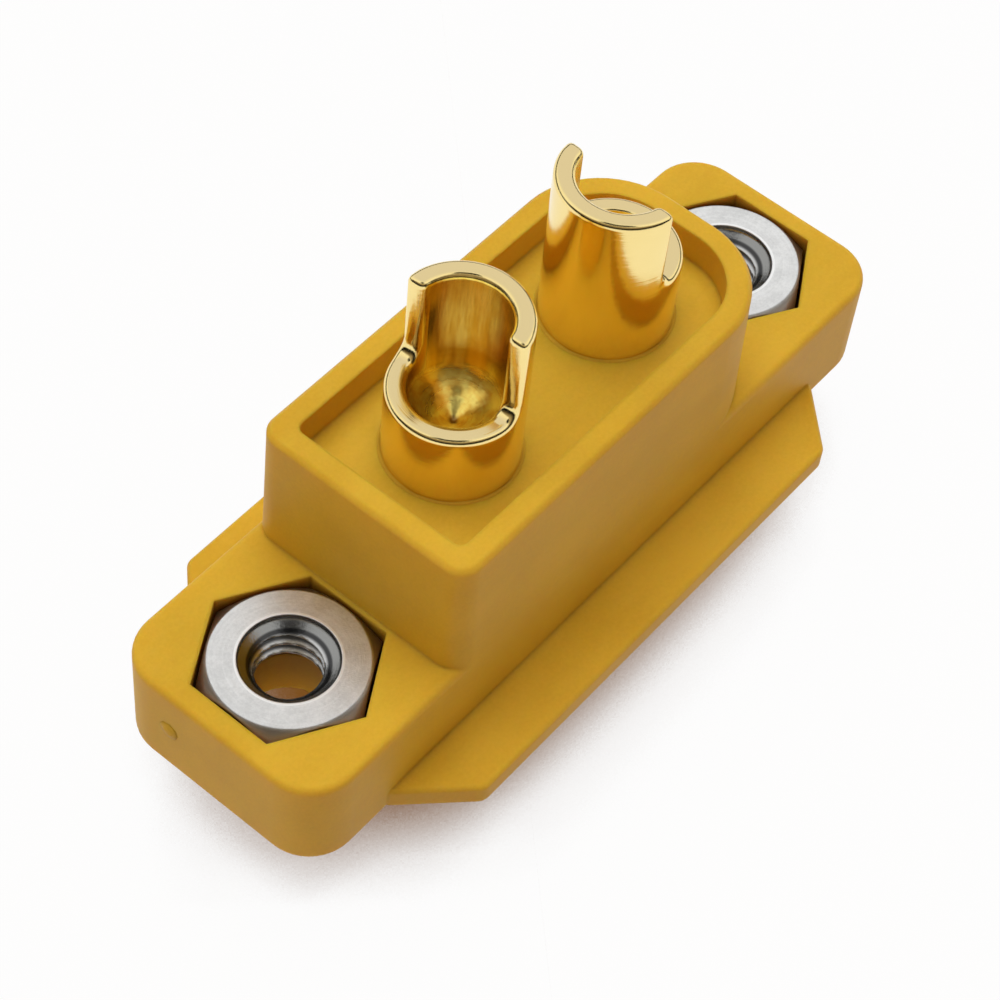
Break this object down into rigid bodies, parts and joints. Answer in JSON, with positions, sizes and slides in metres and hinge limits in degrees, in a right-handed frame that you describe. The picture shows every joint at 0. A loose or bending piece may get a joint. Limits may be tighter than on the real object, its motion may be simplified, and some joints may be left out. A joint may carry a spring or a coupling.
{
  "type": "battery lead connector",
  "caption": "Flanged two-pole battery lead connector with a D-shaped keyed shroud, split bullet contacts, half-open solder cups and captive nuts for panel screws.",
  "frame": {"origin": "centre of the bounding box at the plane of the shroud's rim", "axes": "+X along the flange towards the rounded end of the shell, +Z out of the rear, towards the solder cups"},
  "size_m": [0.028, 0.0122, 0.0165],
  "materials": {
    "housing_plastic": "golden yellow moulded nylon with a satin skin",
    "plated_contact": "gold-plated turned brass, polished",
    "nut_steel": "plated steel, satin"
  },
  "bodies": {
    "root": {"housing": "housing_plastic", "contact_square_end": "plated_contact", "contact_round_end": "plated_contact", "nut_square_end": "nut_steel", "nut_round_end": "nut_steel"}
  },
  "joints": []
}
